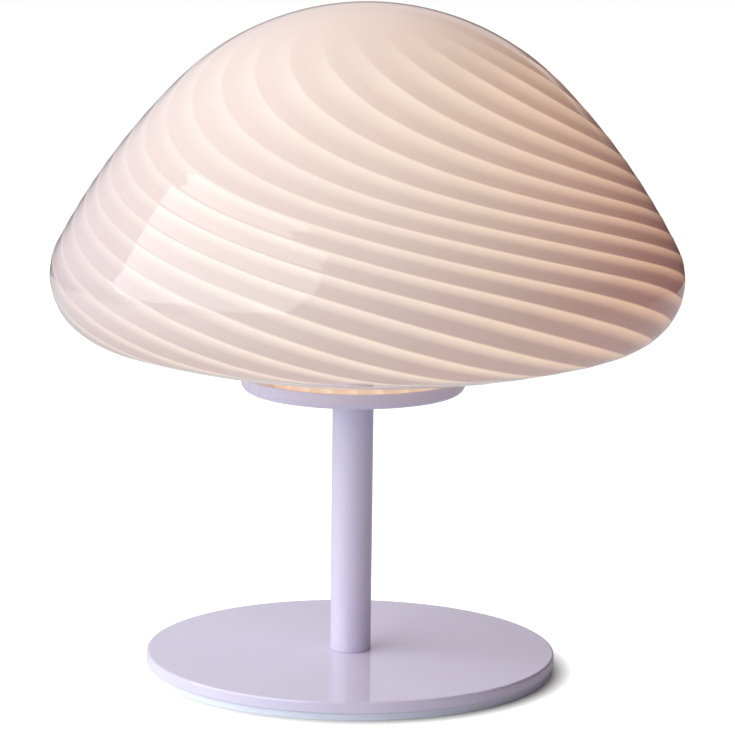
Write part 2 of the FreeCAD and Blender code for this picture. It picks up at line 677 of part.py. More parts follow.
def make_bulb_globe():
    """Frosted ball of the bulb, cut off flat where it meets the collar."""
    centre = Vector(0, 0, GLOBE_CENTRE_Z)
    ball = Part.makeSphere(GLOBE_RADIUS, centre).cut(Part.makeSphere(GLOBE_RADIUS - GLOBE_WALL, centre))
    return ball.common(disc(GLOBE_RADIUS, 2 * GLOBE_RADIUS, BOARD_Z))


def make_bulb_led_board():
    """Round board that carries the light chips, resting on the collar's top edge."""
    return disc(GLOBE_MOUTH_RADIUS - BOARD_CLEARANCE, BOARD_THICKNESS, BOARD_Z)


def make_bulb_led_chips():
    """Ring of square light chips on the board."""
    chips = []
    for i in range(CHIP_COUNT):
        chip = box(CHIP_SIDE, CHIP_SIDE, CHIP_HEIGHT, CHIP_RING_RADIUS, 0, BOARD_Z + BOARD_THICKNESS)
        chip.rotate(Vector(0, 0, 0), UP, 360 * i / CHIP_COUNT)
        chips.append(chip)
    return Part.makeCompound(chips)


def make_bulb_driver_board():
    """Upright circuit board inside the collar and its spigot, just under the light board."""
    foot_z = BOARD_Z - DRIVER_BELOW_BOARD - DRIVER_LENGTH
    return box(DRIVER_WIDTH, DRIVER_THICKNESS, DRIVER_LENGTH, 0, 0, foot_z)


# ---------------------------------------------------------------- leads
def bent_path(points, radii):
    """A wire through the points, with an arc of the given radius tangent to both runs at each turn."""
    edges = []
    start = points[0]
    for before, corner, after, radius in zip(points, points[1:], points[2:], radii):
        back = (before - corner).normalize()
        ahead = (after - corner).normalize()
        half = back.getAngle(ahead) / 2
        setback = radius / math.tan(half)
        inward = (back + ahead).normalize()
        middle = corner + inward * (radius / math.sin(half) - radius)
        edges.append(line(start, corner + back * setback))
        edges.append(arc(corner + back * setback, middle, corner + ahead * setback))
        start = corner + ahead * setback
    edges.append(line(start, points[-1]))
    return Part.Wire(edges)


def make_inner_lead(side):
    """One insulated lead, from its terminal down the nipple and the stem to the cord bush.

    side is -1 for the left terminal and 1 for the right one.
    """
    terminal = Vector(side * TERMINAL_OFFSET, 0, CORE_Z - TERMINAL_HEAD_HEIGHT)
    fan_top = Vector(side * TERMINAL_OFFSET, 0, terminal.z - LEAD_FAN_BEND_RADIUS)
    fan_foot = Vector(side * LEAD_SPACING, 0, NIPPLE_TOP_Z)
    bend = Vector(side * LEAD_SPACING, 0, BUSH_Z)
    end = Vector(side * LEAD_SPACING, BUSH_INNER_Y - LEAD_END_GAP, BUSH_Z)
    radii = (LEAD_FAN_BEND_RADIUS, LEAD_FAN_BEND_RADIUS, LEAD_BEND_RADIUS)
    path = bent_path([terminal, fan_top, fan_foot, bend, end], radii)
    section = Part.Wire(Part.makeCircle(LEAD_RADIUS, terminal, UP))
    return path.makePipeShell([section], True, False)


# ---------------------------------------------------------------- output
PIECES = {
    "base_pad": make_base_pad,
    "base_plate": make_base_plate,
    "base_screw": make_base_screw,
    "stem_tube": make_stem_tube,
    "stem_foot_plug": make_stem_foot_plug,
    "stem_head_bush": make_stem_head_bush,
    "threaded_nipple": make_threaded_nipple,
    "cord_bush": make_cord_bush,
    "inner_lead_left": lambda: make_inner_lead(-1),
    "inner_lead_right": lambda: make_inner_lead(1),
    "shade_tray": make_shade_tray,
    "tray_washer": make_tray_washer,
    "tray_nut": make_tray_nut,
    "shade_seat": make_shade_seat,
    "glass_shade": make_glass_shade,
    "glass_belly": make_glass_belly,
    "glass_neck": make_glass_neck,
    "holder_cap": make_holder_cap,
    "holder_lock_screw": make_holder_lock_screw,
    "holder_skirt": make_holder_skirt,
    "holder_core": make_holder_core,
    "holder_thread_shell": make_holder_thread_shell,
    "holder_centre_contact": make_holder_centre_contact,
    "holder_terminal_screws": make_holder_terminal_screws,
    "bulb_screw_cap": make_bulb_screw_cap,
    "bulb_insulator": make_bulb_insulator,
    "bulb_tip_contact": make_bulb_tip_contact,
    "bulb_collar": make_bulb_collar,
    "bulb_globe": make_bulb_globe,
    "bulb_led_board": make_bulb_led_board,
    "bulb_led_chips": make_bulb_led_chips,
    "bulb_driver_board": make_bulb_driver_board,
}


def report(name, shape):
    """Print a line that shows whether a piece came out whole, and where it lies."""
    b = shape.optimalBoundingBox()
    size = f"x {b.XMin:.2f} to {b.XMax:.2f}, y {b.YMin:.2f} to {b.YMax:.2f}, z {b.ZMin:.2f} to {b.ZMax:.2f}"
    print(f"{name}: valid {shape.isValid()}, solids {len(shape.Solids)}, volume {shape.Volume:.1f}, {size}")


os.makedirs("parts", exist_ok=True)
for piece_name, make_piece in PIECES.items():
    piece = make_piece()
    report(piece_name, piece)
    piece.exportStep(f"parts/{piece_name}.step")
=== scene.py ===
"""Mushroom table lamp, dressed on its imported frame.

A swirled glass shade lit from inside, lilac lacquered metal, a lamp holder and a bulb, with the
floor, the lights and the camera. Metres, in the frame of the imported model: +Z is up, +Y is the
back, and the origin is under the middle of the base.
"""

import json
import logging
import math
from dataclasses import dataclass
from enum import Enum
from typing import Any

import bmesh
import bpy
from mathutils import Matrix, Vector

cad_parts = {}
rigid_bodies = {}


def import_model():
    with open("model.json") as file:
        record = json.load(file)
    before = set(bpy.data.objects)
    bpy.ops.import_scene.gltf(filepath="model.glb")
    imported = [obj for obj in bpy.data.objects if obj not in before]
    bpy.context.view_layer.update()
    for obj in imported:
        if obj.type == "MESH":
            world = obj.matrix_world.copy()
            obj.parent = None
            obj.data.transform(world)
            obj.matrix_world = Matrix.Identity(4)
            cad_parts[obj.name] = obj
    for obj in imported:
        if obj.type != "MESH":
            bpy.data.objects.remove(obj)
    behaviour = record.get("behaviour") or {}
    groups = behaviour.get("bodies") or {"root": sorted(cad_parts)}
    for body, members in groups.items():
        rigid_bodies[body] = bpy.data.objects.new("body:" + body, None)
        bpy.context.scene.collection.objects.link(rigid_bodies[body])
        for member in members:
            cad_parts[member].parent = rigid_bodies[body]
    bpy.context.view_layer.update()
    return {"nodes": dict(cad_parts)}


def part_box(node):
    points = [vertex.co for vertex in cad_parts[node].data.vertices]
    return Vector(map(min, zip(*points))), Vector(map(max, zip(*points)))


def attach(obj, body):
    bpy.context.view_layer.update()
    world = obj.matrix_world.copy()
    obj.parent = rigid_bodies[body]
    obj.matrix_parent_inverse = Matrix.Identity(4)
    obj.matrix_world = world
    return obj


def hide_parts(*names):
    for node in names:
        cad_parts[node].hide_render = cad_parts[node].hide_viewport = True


for leftover in list(bpy.data.objects):
    bpy.data.objects.remove(leftover)
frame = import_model()

log = logging.getLogger("lamp")
MM = 0.001
TURN = 2 * math.pi
Colour = tuple[float, float, float]


# ---------------------------------------------------------------- node trees
class Wire:
    """An output of a node tree. Arithmetic on it adds Math nodes."""

    def __init__(self, graph: "Graph", socket: bpy.types.NodeSocket) -> None:
        """Keep the socket and the graph that it belongs to."""
        self.graph = graph
        self.socket = socket

    def maths(self, operation: str, *others: Any) -> "Wire":
        """Apply a Math node to this value.

        Args:
            operation: the Math node's operation.
            others: the operands after this one.

        Returns:
            The result.
        """
        return self.graph.maths(operation, self, *others)

    def __add__(self, other: Any) -> "Wire":
        """This plus other."""
        return self.maths("ADD", other)

    def __radd__(self, other: Any) -> "Wire":
        """Other plus this."""
        return self.maths("ADD", other)

    def __sub__(self, other: Any) -> "Wire":
        """This less other."""
        return self.maths("SUBTRACT", other)

    def __rsub__(self, other: Any) -> "Wire":
        """Other less this."""
        return self.graph.maths("SUBTRACT", other, self)

    def __mul__(self, other: Any) -> "Wire":
        """This times other."""
        return self.maths("MULTIPLY", other)

    def __rmul__(self, other: Any) -> "Wire":
        """Other times this."""
        return self.maths("MULTIPLY", other)

    def __truediv__(self, other: Any) -> "Wire":
        """This over other."""
        return self.maths("DIVIDE", other)

    def __rtruediv__(self, other: Any) -> "Wire":
        """Other over this."""
        return self.graph.maths("DIVIDE", other, self)

    def __pow__(self, other: Any) -> "Wire":
        """This to the power of other."""
        return self.maths("POWER", other)


class Graph:
    """A node tree under construction, for shaders and for geometry."""

    def __init__(self, tree: bpy.types.NodeTree) -> None:
        """Keep the tree."""
        self.tree = tree

    def node(self, kind: str, settings: dict | None = None, sockets: dict | None = None) -> bpy.types.Node:
        """Add a node.

        Args:
            kind: the node's type.
            settings: the node's own settings, set first.
            sockets: values or wires for its inputs, by name or number.

        Returns:
            The node.
        """
        node = self.tree.nodes.new(kind)
        for name, value in (settings or {}).items():
            setattr(node, name, value)
        for key, value in (sockets or {}).items():
            self.feed(node, key, value)
        return node

    def feed(self, node: bpy.types.Node, key: str | int, value: Any) -> None:
        """Link a wire to an input, or set the input's own value."""
        if isinstance(key, str):
            socket = next(s for s in node.inputs if s.name == key and s.enabled)
        else:
            socket = node.inputs[key]
        if isinstance(value, Wire):
            self.tree.links.new(value.socket, socket)
        elif socket.type == "RGBA" and len(value) == 3:
            socket.default_value = (*value, 1.0)
        else:
            socket.default_value = value

    def wire(
        self, kind: str, settings: dict | None = None, sockets: dict | None = None, output: str | int = 0
    ) -> Wire:
        """Add a node and return one of its outputs, by name or by its place among those in use."""
        node = self.node(kind, settings, sockets)
        if isinstance(output, str):
            return Wire(self, node.outputs[output])
        return Wire(self, [s for s in node.outputs if s.enabled][output])

    def maths(self, operation: str, *values: Any) -> Wire:
        """Add a Math node on these values."""
        return self.wire("ShaderNodeMath", {"operation": operation}, dict(enumerate(values)))

    def mix(self, share: Any, first: Any, second: Any, blend: str = "MIX") -> Wire:
        """Mix two colours.

        Args:
            share: how much of the second there is, from 0 to 1.
            first: the colour where share is 0.
            second: the colour where share is 1.
            blend: how the second is laid on the first.

        Returns:
            The mixed colour.
        """
        settings = {"data_type": "RGBA", "blend_type": blend}
        return self.wire("ShaderNodeMix", settings, {"Factor": share, "A": first, "B": second})

    def smooth(self, value: Any, low: float, high: float) -> Wire:
        """Rise smoothly from 0 to 1 as value goes from low to high."""
        settings = {"interpolation_type": "SMOOTHSTEP"}
        return self.wire("ShaderNodeMapRange", settings, {"Value": value, "From Min": low, "From Max": high})

    def noise(self, where: Wire, size: float, detail: float = 2.0) -> Wire:
        """Smooth noise from about 0 to 1, whose lumps are about size metres apart."""
        sockets = {"Vector": where, "Scale": 1 / size, "Detail": detail}
        return self.wire("ShaderNodeTexNoise", {"noise_dimensions": "3D"}, sockets)

    def attribute(self, name: str) -> Wire:
        """A number that the piece's mesh carries."""
        return self.wire("ShaderNodeAttribute", {"attribute_name": name}, output="Fac")

    def apart(self, vector: Wire) -> list[Wire]:
        """The x, y and z of a vector."""
        node = self.node("ShaderNodeSeparateXYZ", sockets={0: vector})
        return [Wire(self, socket) for socket in node.outputs]

    def point(self, *parts: Any) -> Wire:
        """The vector with this x, y and z."""
        return self.wire("ShaderNodeCombineXYZ", sockets=dict(enumerate(parts)))

    def grey(self, level: Wire) -> Wire:
        """The colour with this level in each channel."""
        return self.wire("ShaderNodeCombineColor", sockets={0: level, 1: level, 2: level})

    def dress(self, shader: bpy.types.Node, looks: dict[str, Any], height: Wire, depth: float) -> None:
        """Feed a shader's inputs and give its surface a relief.

        Args:
            shader: the shader.
            looks: values or wires for its inputs, by name.
            height: the relief's height, from 0 to 1.
            depth: the relief's depth, in metres.
        """
        for name, value in looks.items():
            self.feed(shader, name, value)
        sockets = {"Height": height, "Distance": depth}
        self.feed(shader, "Normal", self.wire("ShaderNodeBump", sockets=sockets))


def new_material(name: str) -> tuple[bpy.types.Material, Graph, bpy.types.Node, Wire]:
    """Make an empty material.

    Args:
        name: the material's name.

    Returns:
        The material, its graph, its main shader and the Object coordinates.
    """
    material = bpy.data.materials.new(name)
    material.use_nodes = True
    material.node_tree.nodes.clear()
    graph = Graph(material.node_tree)
    shader = graph.node("ShaderNodeBsdfPrincipled")
    output = graph.node("ShaderNodeOutputMaterial")
    material.node_tree.links.new(shader.outputs["BSDF"], output.inputs["Surface"])
    where = graph.wire("ShaderNodeTexCoord", output="Object")
    return material, graph, shader, where


def srgb(red: int, green: int, blue: int) -> Colour:
    """A screen colour, from 0 to 255 a channel, as linear light."""

    def linear(level: int) -> float:
        """One channel."""
        share = level / 255
        return share / 12.92 if share <= 0.04045 else ((share + 0.055) / 1.055) ** 2.4

    return linear(red), linear(green), linear(blue)


def scaled(colour: Colour, by: float) -> Colour:
    """A colour made lighter or darker."""
    return tuple(channel * by for channel in colour)


# ---------------------------------------------------------------- finishes
class Grain(Enum):
    """The way a surface's fine texture runs."""

    FINE = "the same all ways, as on a moulded or sprayed face"
    TURNED = "in rings round the lamp's axis, as a lathe tool leaves it"
    DRAWN = "in lines along the lamp's axis, as on drawn or rolled sheet"


@dataclass(frozen=True)
class Finish:
    """A plain finish: one colour that varies a little, with a fine texture."""

    name: str
    colour: Colour
    roughness: float
    metallic: float = 0.0
    coat: float = 0.0
    cloud: float = 0.05
    cloud_size: float = 6 * MM
    grain: Grain = Grain.FINE
    grain_size: float = 0.4 * MM
    grain_depth: float = 0.01 * MM
    subsurface: float = 0.0

    def grain_height(self, graph: Graph, where: Wire) -> Wire:
        """The height of the fine texture, from about 0 to 1."""
        if self.grain is Grain.FINE:
            return graph.noise(where, self.grain_size, 3.0)
        x, y, z = graph.apart(where)
        if self.grain is Grain.TURNED:
            along = graph.point((x * x + y * y) ** 0.5, 0.0, z)
        else:
            along = graph.point(graph.maths("ARCTAN2", y, x) * (8 * MM), 0.0, z * 0.03)
        return graph.noise(along, self.grain_size, 3.0)

    def material(self) -> bpy.types.Material:
        """Make the finish's material."""
        material, graph, shader, where = new_material(self.name)
        cloud = graph.noise(where, self.cloud_size)
        light, dark = scaled(self.colour, 1 + self.cloud), scaled(self.colour, 1 - self.cloud)
        height = self.grain_height(graph, where)
        spread = 0.35 * self.roughness
        looks = {
            "Base Color": graph.mix(cloud, dark, light),
            "Roughness": height * spread + (self.roughness - spread / 2),
            "Metallic": self.metallic,
            "Coat Weight": self.coat,
            "Subsurface Weight": self.subsurface,
            "Subsurface Scale": 1 * MM,
        }
        graph.dress(shader, looks, height, self.grain_depth)
        return material


@dataclass(frozen=True)
class Lacquer:
    """Sprayed pearl lacquer on metal, with the faint waves that a sprayed coat has."""

    name: str = "lilac_lacquer"
    colour: Colour = srgb(219, 212, 235)
    shade: Colour = srgb(215, 207, 231)
    roughness: float = 0.45
    coat: float = 1.0
    coat_roughness: float = 0.05
    wave_size: float = 2.2 * MM
    wave_depth: float = 0.006 * MM
    cloud_size: float = 45 * MM
    pearl_size: float = 0.25 * MM
    pearl_spread: float = 0.06
    specular: float = 0.15

    def material(self) -> bpy.types.Material:
        """Make the lacquer."""
        material, graph, shader, where = new_material(self.name)
        cloud = graph.noise(where, self.cloud_size)
        pearl = graph.noise(where, self.pearl_size, 0.0)
        looks = {
            "Base Color": graph.mix(cloud, self.shade, self.colour),
            "Roughness": pearl * self.pearl_spread + (self.roughness - self.pearl_spread / 2),
            "Specular IOR Level": self.specular,
            "Coat Weight": self.coat,
            "Coat Roughness": self.coat_roughness,
        }
        graph.dress(shader, looks, graph.noise(where, self.wave_size, 1.0), self.wave_depth)
        return material


@dataclass(frozen=True)
class SwirlGlass:
    """Opal glass lit from inside, whose stripes are thinner and so let more light through.

    The mesh carries two numbers: "stripe" is 1 on a stripe's ridge, and "inner" is 1 on the
    inside. The bulb's light is painted on as a glow: the bands between the stripes glow more the
    nearer they are to the bulb. Towards the left and right ends a painted shade makes the stripes
    and the bands glow less, and redder.
    """

    name: str = "swirl_glass"
    opal: Colour = (0.40, 0.395, 0.43)
    clear: Colour = (0.14, 0.24, 0.33)
    line_glow: Colour = (0.90, 0.65, 0.45)
    band_near: Colour = (0.60, 0.40, 0.25)
    band_far: Colour = (0.35, 0.20, 0.12)
    line_painted_edge_shade: Colour = (0.80, 0.60, 0.50)
    band_painted_edge_shade: Colour = (0.60, 0.30, 0.20)
    bulb_height: float = 200.0 * MM
    near_reach: float = 85.0 * MM
    far_reach: float = 140.0 * MM
    painted_shade_half_width: float = 140.0 * MM
    inner_glow: Colour = (0.95, 0.66, 0.48)
    inner_share: float = 0.6
    roughness: float = 0.30
    coat_ior: float = 1.38
    coat_roughness: float = 0.035
    cloud: float = 0.08
    cloud_size: float = 14 * MM
    ripple_size: float = 9 * MM
    ripple_depth: float = 0.03 * MM

    def material(self) -> bpy.types.Material:
        """Make the glass."""
        material, graph, shader, where = new_material(self.name)
        stripe = graph.attribute("stripe")
        x, y, z = graph.apart(where)
        # Painted glow: the bulb's light is painted on the glass as emission, brighter the nearer the glass is
        # to the bulb.
        rise = z - self.bulb_height
        reach = (x * x + y * y + rise * rise) ** 0.5
        limits = {"Value": reach, "From Min": self.far_reach, "From Max": self.near_reach}
        nearness = graph.wire("ShaderNodeMapRange", sockets=limits)
        # Painted shade: towards the left and right ends the glow is multiplied darker and redder.
        painted_edge_shade = x * x / self.painted_shade_half_width**2
        band = graph.mix(nearness, self.band_far, self.band_near)
        band = graph.mix(painted_edge_shade, band, self.band_painted_edge_shade, "MULTIPLY")
        line = graph.mix(painted_edge_shade, self.line_glow, self.line_painted_edge_shade, "MULTIPLY")
        cloud = graph.noise(where, self.cloud_size) * self.cloud + (1 - self.cloud / 2)
        glow = graph.mix(1.0, graph.mix(stripe, band, line), graph.grey(cloud), "MULTIPLY")
        inside = graph.mix(self.inner_share, glow, self.inner_glow)
        looks = {
            "Emission Color": graph.mix(graph.attribute("inner"), glow, inside),
            "Emission Strength": 1.0,
            "Base Color": graph.mix(stripe, self.opal, self.clear),
            "Roughness": self.roughness,
            "Specular IOR Level": 0.0,
            "Coat Weight": 1.0,
            "Coat IOR": self.coat_ior,
            "Coat Roughness": self.coat_roughness,
        }
        graph.dress(shader, looks, graph.noise(where, self.ripple_size, 1.0), self.ripple_depth)
        return material


@dataclass(frozen=True)
class LitGlobe:
    """Frosted ball with the lamp on: brightest over the chips, a little duller at its foot."""

    name: str = "globe_frost"
    colour: Colour = (0.50, 0.47, 0.43)
    glow: Colour = (0.90, 0.62, 0.36)
    foot_glow: float = 0.7
    fade_from: float = 206.8 * MM
    fade_to: float = 240.8 * MM
    mottle: float = 0.97
    mottle_size: float = 5 * MM
    frost_size: float = 0.15 * MM
    frost_depth: float = 0.01 * MM
    roughness: float = 0.55

    def material(self) -> bpy.types.Material:
        """Make the frosted, lit plastic."""
        material, graph, shader, where = new_material(self.name)
        rise = graph.smooth(graph.apart(where)[2], self.fade_from, self.fade_to)
        mottle = graph.noise(where, self.mottle_size)
        looks = {
            "Base Color": graph.mix(mottle, scaled(self.colour, self.mottle), self.colour),
            "Emission Color": graph.mix(rise, scaled(self.glow, self.foot_glow), self.glow),
            "Emission Strength": 1.0,
            "Roughness": self.roughness,
        }
        graph.dress(shader, looks, graph.noise(where, self.frost_size, 2.0), self.frost_depth)
        return material


@dataclass(frozen=True)
class ChipFinish:
    """White chip packages with a yellow phosphor window, where the mesh's "phosphor" is 1."""

    name: str = "chip_yellow"
    package: Colour = (0.86, 0.86, 0.84)
    phosphor: Colour = (0.90, 0.62, 0.10)
    glow: Colour = (1.0, 0.78, 0.42)
    strength: float = 2.0
    grit_shade: float = 0.9
    grit_size: float = 0.2 * MM
    roughness: float = 0.35
    roughness_spread: float = 0.2

    def material(self) -> bpy.types.Material:
        """Make the chips' material."""
        material, graph, shader, where = new_material(self.name)
        phosphor = graph.attribute("phosphor")
        grit = graph.noise(where, self.grit_size, 2.0)
        yellow = graph.mix(grit, scaled(self.phosphor, self.grit_shade), self.phosphor)
        graph.feed(shader, "Base Color", graph.mix(phosphor, self.package, yellow))
        graph.feed(shader, "Emission Color", graph.mix(phosphor, (0.0, 0.0, 0.0), self.glow))
        graph.feed(shader, "Emission Strength", self.strength)
        graph.feed(shader, "Roughness", grit * self.roughness_spread + self.roughness)
        return material


BRASS = (0.72, 0.53, 0.25)
STEEL = (0.56, 0.57, 0.58)
PLAIN_FINISHES = (
    Finish("pad_rubber", srgb(222, 225, 238), 0.85, grain_size=0.5 * MM, grain_depth=0.05 * MM),
    Finish("zinc_steel", (0.62, 0.63, 0.64), 0.32, 1.0, cloud=0.10, cloud_size=2 * MM),
    Finish("turned_steel", STEEL, 0.30, 1.0, grain=Grain.TURNED, grain_size=0.3 * MM),
    Finish("nipple_zinc", (0.66, 0.64, 0.56), 0.35, 1.0, grain=Grain.TURNED, grain_size=0.8 * MM),
    Finish("nut_brass", BRASS, 0.24, 1.0, grain=Grain.TURNED, grain_size=0.3 * MM),
    Finish("bush_plastic", srgb(214, 211, 224), 0.45, cloud=0.02),
    Finish("lead_brown", srgb(98, 52, 28), 0.40),
    Finish("lead_blue", srgb(40, 84, 170), 0.40),
    Finish("seat_silicone", (0.80, 0.80, 0.80), 0.55, cloud=0.03, subsurface=0.4),
    Finish("holder_plastic", (0.84, 0.84, 0.81), 0.28, cloud=0.02, subsurface=0.1),
    Finish("core_ceramic", (0.86, 0.85, 0.80), 0.20, coat=0.5, cloud=0.03),
    Finish("contact_brass", BRASS, 0.28, 1.0, grain=Grain.DRAWN, grain_size=0.4 * MM),
    Finish("cap_nickel", (0.68, 0.66, 0.62), 0.20, 1.0, grain=Grain.TURNED, grain_size=0.5 * MM),
    Finish("insulator_black", (0.02, 0.02, 0.022), 0.12, coat=0.6, cloud=0.20),
    Finish("tip_solder", (0.60, 0.60, 0.60), 0.38, 1.0, cloud=0.12, cloud_size=1 * MM),
    Finish("collar_white", (0.86, 0.86, 0.85), 0.30, cloud=0.02, subsurface=0.1),
    Finish("board_white", (0.82, 0.83, 0.82), 0.35, coat=0.3),
    Finish("board_green", (0.03, 0.16, 0.06), 0.35, coat=0.4, cloud=0.15, cloud_size=1.5 * MM),
)
OTHER_FINISHES = (Lacquer(), SwirlGlass(), LitGlobe(), ChipFinish())


def make_finishes() -> dict[str, bpy.types.Material]:
    """Make every finish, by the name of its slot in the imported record."""
    return {finish.name: finish.material() for finish in PLAIN_FINISHES + OTHER_FINISHES}


# ---------------------------------------------------------------- shapes made by rules
@dataclass
class Station:
    """A point of a half profile and the numbers that go with it.

    lean is the angle of the outward normal, 0 for straight up and a quarter turn for outwards.
    twist is how far the pattern has turned there, weight is how strong it is, width is the share
    of a stripe's step that its slope takes, and inner is 1 on the inside of a wall.
    """

    radius: float
    height: float
    lean: float = 0.0
    twist: float = 0.0
    weight: float = 0.0
    width: float = 0.5
    inner: float = 0.0


ROW_NUMBERS = ("lean", "twist", "weight", "width", "inner")
STRIPE_SWELL = 0.9


@dataclass(frozen=True)
class Arc:
    """An arc of a half profile, between two angles of its outward normal."""

    centre: float
    height: float
    radius: float
    first: float
    last: float


def profile_mesh(name: str, stations: list[Station]) -> bpy.types.Mesh:
    """Make a mesh line through the stations, which carries their numbers as attributes.

    Args:
        name: the mesh's name.
        stations: the points, in order.

    Returns:
        The mesh.
    """
    mesh = bpy.data.meshes.new(name)
    points = [(s.radius, 0.0, s.height) for s in stations]
    mesh.from_pydata(points, [(i, i + 1) for i in range(len(points) - 1)], [])
    for number in ROW_NUMBERS:
        layer = mesh.attributes.new(number, "FLOAT", "POINT")
        layer.data.foreach_set("value", [getattr(s, number) for s in stations])
    return mesh


class RuleTree:
    """A Geometry Nodes tree that makes a piece from a profile or a unit and named sizes."""

    def __init__(self, name: str, sizes: dict[str, str]) -> None:
        """Make the tree and its inputs.

        Args:
            name: the tree's name.
            sizes: the inputs' names and socket types, after the geometry and before the material.
        """
        self.tree = bpy.data.node_groups.new(name, "GeometryNodeTree")
        self.graph = Graph(self.tree)
        sockets = {"Geometry": "NodeSocketGeometry"} | sizes | {"Material": "NodeSocketMaterial"}
        for label, kind in sockets.items():
            self.tree.interface.new_socket(label, in_out="INPUT", socket_type=kind)
        self.tree.interface.new_socket("Geometry", in_out="OUTPUT", socket_type="NodeSocketGeometry")
        entry = self.graph.node("NodeGroupInput")
        self.size = {label: Wire(self.graph, entry.outputs[label]) for label in sockets}

    def finish(self, geometry: Wire) -> None:
        """End the tree: real geometry, one material."""
        real = self.graph.wire("GeometryNodeRealizeInstances", sockets={"Geometry": geometry})
        dressed = self.graph.wire(
            "GeometryNodeSetMaterial", sockets={"Geometry": real, "Material": self.size["Material"]}
        )
        self.graph.node("NodeGroupOutput", sockets={"Geometry": dressed})

    def sheet(self, columns: Wire) -> tuple[Wire, Wire, Wire]:
        """A flat grid with a column for each step round the axis and a row for each station.

        Args:
            columns: how many steps there are in a full turn.

        Returns:
            The grid, the share of a turn at each point, and its row's number.
        """
        graph = self.graph
        profile = {"Geometry": self.size["Geometry"]}
        rows = graph.wire("GeometryNodeAttributeDomainSize", {"component": "MESH"}, profile)
        sockets = {"Size X": 1.0, "Size Y": 1.0, "Vertices X": columns + 1, "Vertices Y": rows}
        grid = graph.wire("GeometryNodeMeshGrid", sockets=sockets)
        across, up, _ = graph.apart(graph.wire("GeometryNodeInputPosition"))
        return grid, across + 0.5, ((up + 0.5) * (rows - 1)).maths("ROUND")

    def sample(self, value: Wire, row: Wire, kind: str = "FLOAT") -> Wire:
        """Read a value of the profile at the row's station."""
        settings = {"data_type": kind, "domain": "POINT"}
        sockets = {"Geometry": self.size["Geometry"], "Value": value, "Index": row}
        return self.graph.wire("GeometryNodeSampleIndex", settings, sockets)

    def number(self, name: str, row: Wire) -> Wire:
        """Read one of the profile's own numbers at the row's station."""
        settings = {"data_type": "FLOAT"}
        return self.sample(self.graph.wire("GeometryNodeInputNamedAttribute", settings, {"Name": name}), row)

    def place(self, row: Wire) -> tuple[Wire, Wire]:
        """The radius and height of the row's station."""
        where = self.sample(self.graph.wire("GeometryNodeInputPosition"), row, "FLOAT_VECTOR")
        radius, _, height = self.graph.apart(where)
        return radius, height

    def keep(self, geometry: Wire, name: str, value: Wire) -> Wire:
        """Store a number on the geometry's points."""
        settings = {"data_type": "FLOAT", "domain": "POINT"}
        sockets = {"Geometry": geometry, "Name": name, "Value": value}
        return self.graph.wire("GeometryNodeStoreNamedAttribute", settings, sockets)

    def wrap(self, grid: Wire, x: Wire, y: Wire, z: Wire) -> Wire:
        """Move the grid's points to their places, close its seam and poles, and smooth its look."""
        graph = self.graph
        where = graph.point(x, y, z)
        moved = graph.wire("GeometryNodeSetPosition", sockets={"Geometry": grid, "Position": where})
        closed = graph.wire("GeometryNodeMergeByDistance", sockets={"Geometry": moved, "Distance": 1e-6})
        return graph.wire("GeometryNodeSetShadeSmooth", sockets={"Geometry": closed})


def wound_tree() -> bpy.types.NodeTree:
    """The rule of blown glass with stripes wound round it.

    The grid's columns follow the stripes, and crowd together at each stripe's crisp edge. From one
    edge to the next a stripe rises slowly and falls off sharply.

    Returns:
        The tree.
    """
    whole = dict.fromkeys(("Stripes", "Columns"), "NodeSocketInt")
    names = ("Crowding", "Relief", "Ridge", "Fall", "Offset", "Lopsided", "Axis X")
    rule = RuleTree("wound_glass", whole | dict.fromkeys(names, "NodeSocketFloat"))
    graph, size = rule.graph, rule.size
    grid, share, row = rule.sheet(size["Stripes"] * size["Columns"])
    count = share * size["Stripes"]
    step = count.maths("FRACT")
    crowded = step + size["Crowding"] * (((step - 0.25) * TURN).maths("SINE") + 1) / TURN
    ridge, fall = size["Ridge"], size["Fall"]
    turned = count.maths("FLOOR") + crowded - ridge + size["Offset"]
    angle = rule.number("twist", row) + turned / size["Stripes"] * TURN
    foot = ridge - rule.number("width", row) * (1 + size["Lopsided"] * angle.maths("SINE"))
    rise = graph.wire("ShaderNodeMapRange", sockets={"Value": crowded, "From Min": foot, "From Max": ridge})
    drop = graph.wire(
        "ShaderNodeMapRange",
        {"interpolation_type": "SMOOTHSTEP"},
        {"Value": crowded, "From Min": ridge, "From Max": ridge + fall},
    )
    stripe = rise**STRIPE_SWELL * (1 - drop) * rule.number("weight", row)
    radius, height = rule.place(row)
    lean = rule.number("lean", row)
    inner = rule.number("inner", row)
    proud = stripe * size["Relief"] * (1 - inner)
    reach = radius + proud * lean.maths("SINE")
    grid = rule.keep(grid, "stripe", stripe)
    grid = rule.keep(grid, "inner", inner)
    x = size["Axis X"] + reach * angle.maths("SINE")
    y = reach * angle.maths("COSINE") * -1
    rule.finish(rule.wrap(grid, x, y, height + proud * lean.maths("COSINE")))
    return rule.tree


def thread_tree() -> bpy.types.NodeTree:
    """The rule of a round thread rolled into sheet: the profile's radius waves along a helix."""
    sizes = {"Columns": "NodeSocketInt", "Pitch": "NodeSocketFloat", "Depth": "NodeSocketFloat"}
    rule = RuleTree("rolled_thread", sizes)
    size = rule.size
    grid, share, row = rule.sheet(size["Columns"])
    radius, height = rule.place(row)
    helix = (height / size["Pitch"] - share) * TURN
    groove = (1 - helix.maths("COSINE")) / 2
    reach = radius - groove * size["Depth"] * rule.number("weight", row)
    angle = share * TURN
    rule.finish(rule.wrap(grid, reach * angle.maths("COSINE"), reach * angle.maths("SINE"), height))
    return rule.tree


